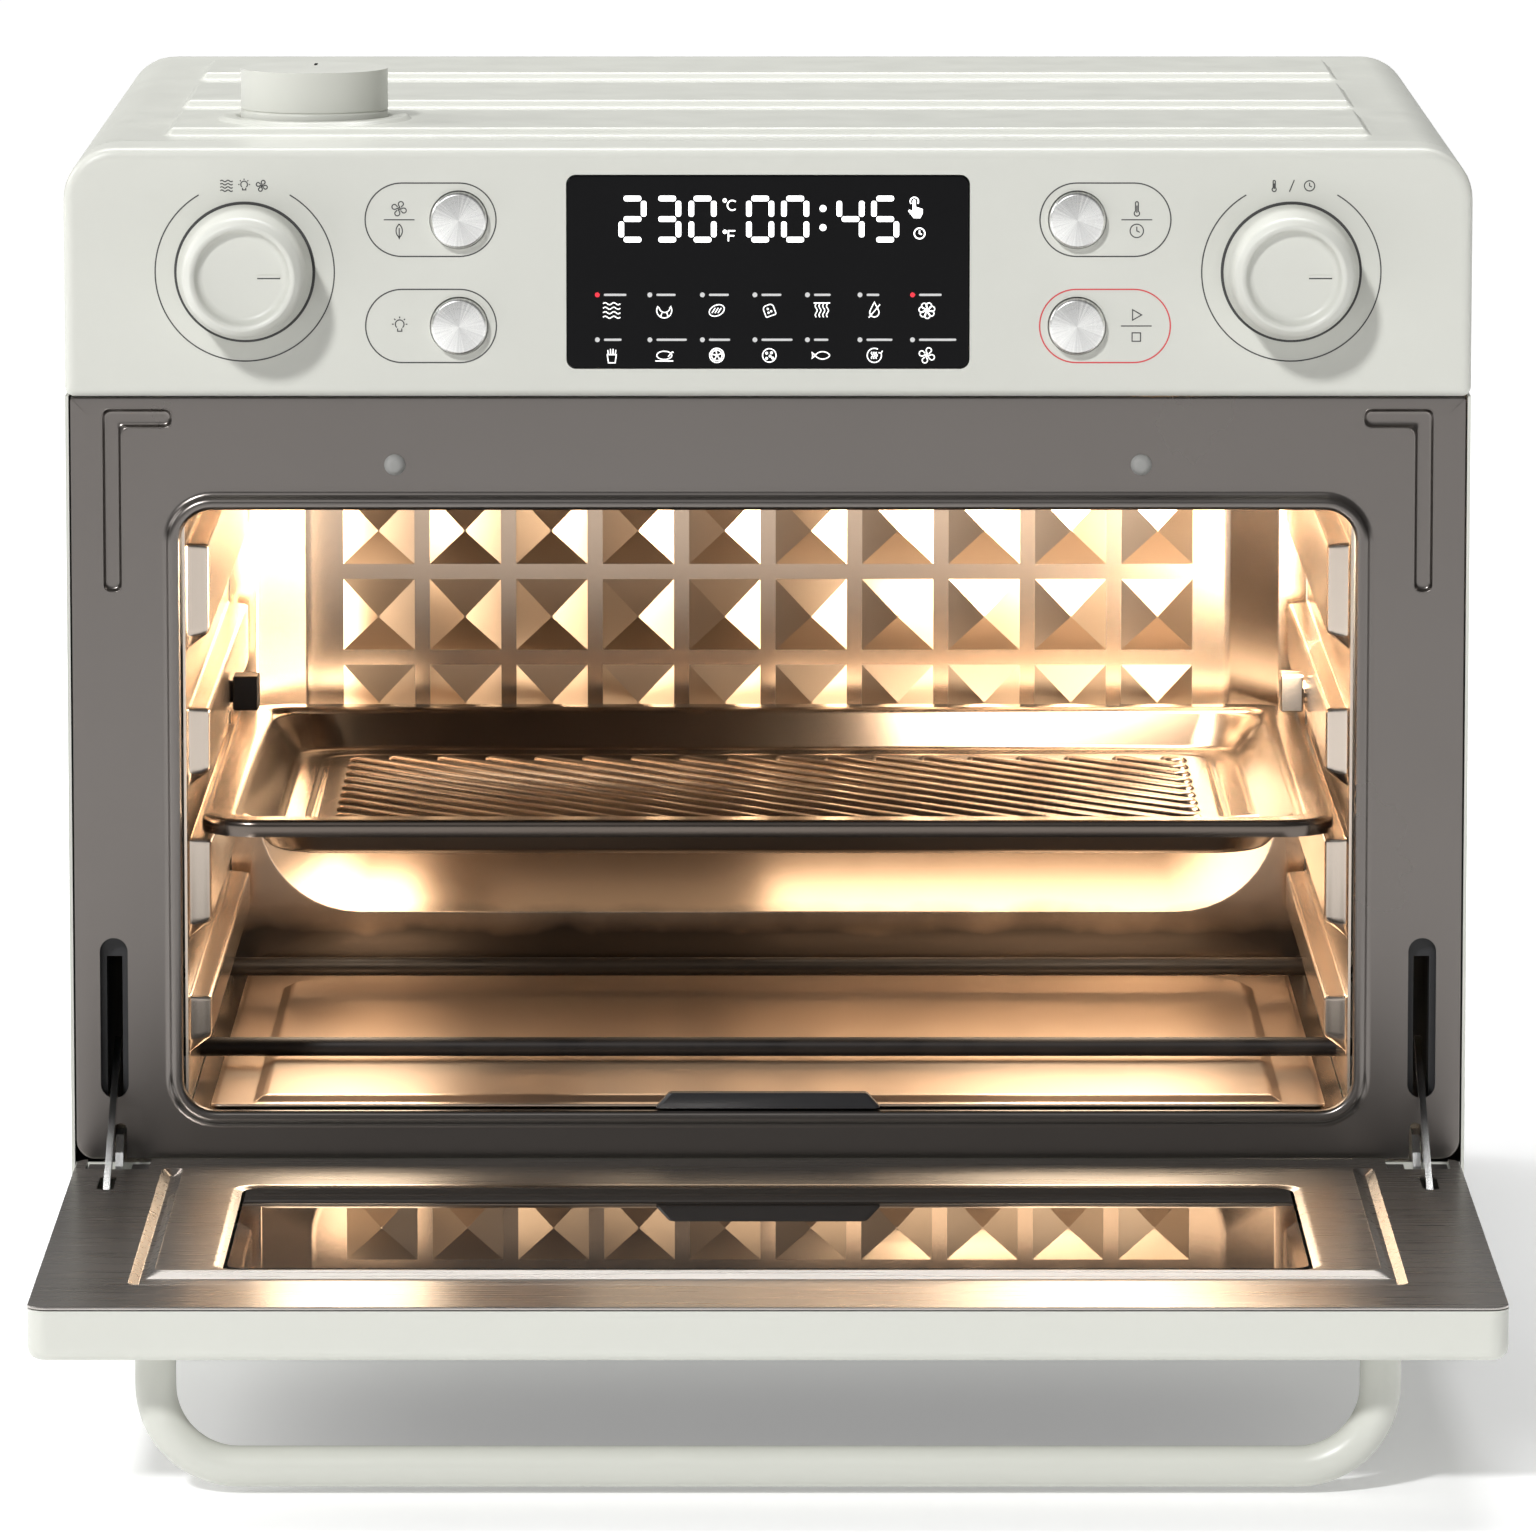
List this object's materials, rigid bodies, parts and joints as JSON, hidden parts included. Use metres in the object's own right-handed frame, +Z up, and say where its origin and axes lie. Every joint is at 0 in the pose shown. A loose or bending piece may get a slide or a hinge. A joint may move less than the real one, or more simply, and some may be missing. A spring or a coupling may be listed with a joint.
{
  "type": "countertop convection oven",
  "caption": "Countertop convection oven with a drop-down glass door, a lit display between control knobs, a baking tray, a crumb tray and a turning steam vent on top.",
  "frame": {"origin": "centre of the bounding box's footprint with the door lying open, on the table", "axes": "+Z up, front with the door towards -Y, +X to the right as seen from the front"},
  "size_m": [0.431, 0.612, 0.3924],
  "materials": {
    "white_paint": "warm off-white satin enamel",
    "white_plastic": "warm off-white, fine satin",
    "brushed_steel": "satin grey",
    "cavity_steel": "bright rolled sheet",
    "tray_enamel": "dark grey non-stick coat",
    "heater_steel": "dark oxidised sheath",
    "zinc_plate": "dull zinc-plated sheet and bar",
    "spun_aluminium": "spun satin",
    "black_plastic": "matt black",
    "grey_rubber": "matt grey",
    "ceramic": "unglazed ceramic",
    "display_glass": "gloss black with lit characters",
    "clear_glass": "clear tempered",
    "circuit_board": "green solder mask"
  },
  "bodies": {
    "oven_body": {"outer_casing": "white_paint", "lower_front_panel": "white_paint", "control_panel": "white_plastic", "front_frame": "brushed_steel", "cavity_floor": "cavity_steel", "cavity_ceiling": "cavity_steel", "cavity_back_wall": "cavity_steel", "cavity_left_wall": "cavity_steel", "cavity_right_wall": "cavity_steel", "spit_rest": "cavity_steel", "lower_front_heater": "heater_steel", "lower_rear_heater": "heater_steel", "upper_front_heater": "heater_steel", "upper_rear_heater": "heater_steel", "rear_cover": "zinc_plate", "base_plate": "zinc_plate", "left_hinge_arm": "zinc_plate", "right_hinge_arm": "zinc_plate", "left_link_spring": "zinc_plate", "right_link_spring": "zinc_plate", "fan_housing": "zinc_plate", "fan_motor": "zinc_plate", "spit_motor": "zinc_plate", "vent_duct": "zinc_plate", "temperature_probe": "zinc_plate", "function_encoder": "zinc_plate", "setting_encoder": "zinc_plate", "left_link_guide": "black_plastic", "right_link_guide": "black_plastic", "cord_gland": "black_plastic", "front_left_foot": "grey_rubber", "front_right_foot": "grey_rubber", "rear_left_foot": "grey_rubber", "rear_right_foot": "grey_rubber", "cavity_lamp": "ceramic", "display_window": "display_glass", "lamp_cover": "clear_glass", "control_board": "circuit_board", "power_board": "circuit_board"},
    "door": {"door_inner_sheet": "brushed_steel", "door_inner_glass": "clear_glass", "door_frame": "white_paint", "door_outer_glass": "clear_glass", "door_handle": "white_paint", "left_hinge_block": "zinc_plate", "right_hinge_block": "zinc_plate"},
    "left_link": {"left_door_link": "zinc_plate"},
    "right_link": {"right_door_link": "zinc_plate"},
    "function_dial": {"function_knob": "white_plastic"},
    "setting_dial": {"setting_knob": "white_plastic"},
    "fan_speed_key": {"fan_speed_button": "spun_aluminium"},
    "light_key": {"light_button": "spun_aluminium"},
    "mode_key": {"mode_button": "spun_aluminium"},
    "start_key": {"start_button": "spun_aluminium"},
    "steam_vent": {"vent_cap": "white_plastic"},
    "fan": {"convection_fan": "spun_aluminium"},
    "spit": {"spit_drive": "heater_steel"},
    "tray": {"baking_tray": "tray_enamel"},
    "crumb_drawer": {"crumb_tray": "cavity_steel", "crumb_tray_handle": "black_plastic"}
  },
  "joints": [
    {"name": "door_hinge", "type": "hinge", "parent": "oven_body", "child": "door", "pos_m": [0, -0.068, 0.056], "axis": [-1, 0, 0], "range_deg": [0, 90]},
    {"name": "left_link_pivot", "type": "hinge", "parent": "door", "child": "left_link", "pos_m": [-0.202, -0.11, 0.0565], "axis": [1, 0, 0], "range_deg": [0, 62.6]},
    {"name": "right_link_pivot", "type": "hinge", "parent": "door", "child": "right_link", "pos_m": [0.202, -0.11, 0.0565], "axis": [1, 0, 0], "range_deg": [0, 62.6]},
    {"name": "function_dial_turn", "type": "hinge", "parent": "oven_body", "child": "function_dial", "pos_m": [-0.16, -0.0633, 0.336], "axis": [0, -1, 0], "continuous": true},
    {"name": "setting_dial_turn", "type": "hinge", "parent": "oven_body", "child": "setting_dial", "pos_m": [0.16, -0.0633, 0.336], "axis": [0, -1, 0], "continuous": true},
    {"name": "fan_speed_press", "type": "slide", "parent": "oven_body", "child": "fan_speed_key", "axis": [0, 1, 0], "range_m": [0, 0.0012], "stiffness_N_per_m": 800},
    {"name": "light_press", "type": "slide", "parent": "oven_body", "child": "light_key", "axis": [0, 1, 0], "range_m": [0, 0.0012], "stiffness_N_per_m": 800},
    {"name": "mode_press", "type": "slide", "parent": "oven_body", "child": "mode_key", "axis": [0, 1, 0], "range_m": [0, 0.0012], "stiffness_N_per_m": 800},
    {"name": "start_press", "type": "slide", "parent": "oven_body", "child": "start_key", "axis": [0, 1, 0], "range_m": [0, 0.0012], "stiffness_N_per_m": 800},
    {"name": "steam_vent_turn", "type": "hinge", "parent": "oven_body", "child": "steam_vent", "pos_m": [-0.1415, 0.014, 0.3768], "axis": [0, 0, 1], "range_deg": [0, 90]},
    {"name": "fan_spin", "type": "hinge", "parent": "oven_body", "child": "fan", "pos_m": [0, 0.078, 0.2879], "axis": [0, 0, 1], "continuous": true},
    {"name": "spit_turn", "type": "hinge", "parent": "oven_body", "child": "spit", "pos_m": [-0.163, 0.08, 0.187], "axis": [1, 0, 0], "continuous": true},
    {"name": "tray_slide", "type": "slide", "parent": "oven_body", "child": "tray", "axis": [0, 1, 0], "range_m": [-0.2, 0]},
    {"name": "crumb_tray_slide", "type": "slide", "parent": "oven_body", "child": "crumb_drawer", "axis": [0, 1, 0], "range_m": [-0.24, 0]}
  ],
  "couplings": [
    {"joint": "left_link_pivot", "follows": "door_hinge", "ratio": 0.69444},
    {"joint": "right_link_pivot", "follows": "door_hinge", "ratio": 0.69444}
  ]
}
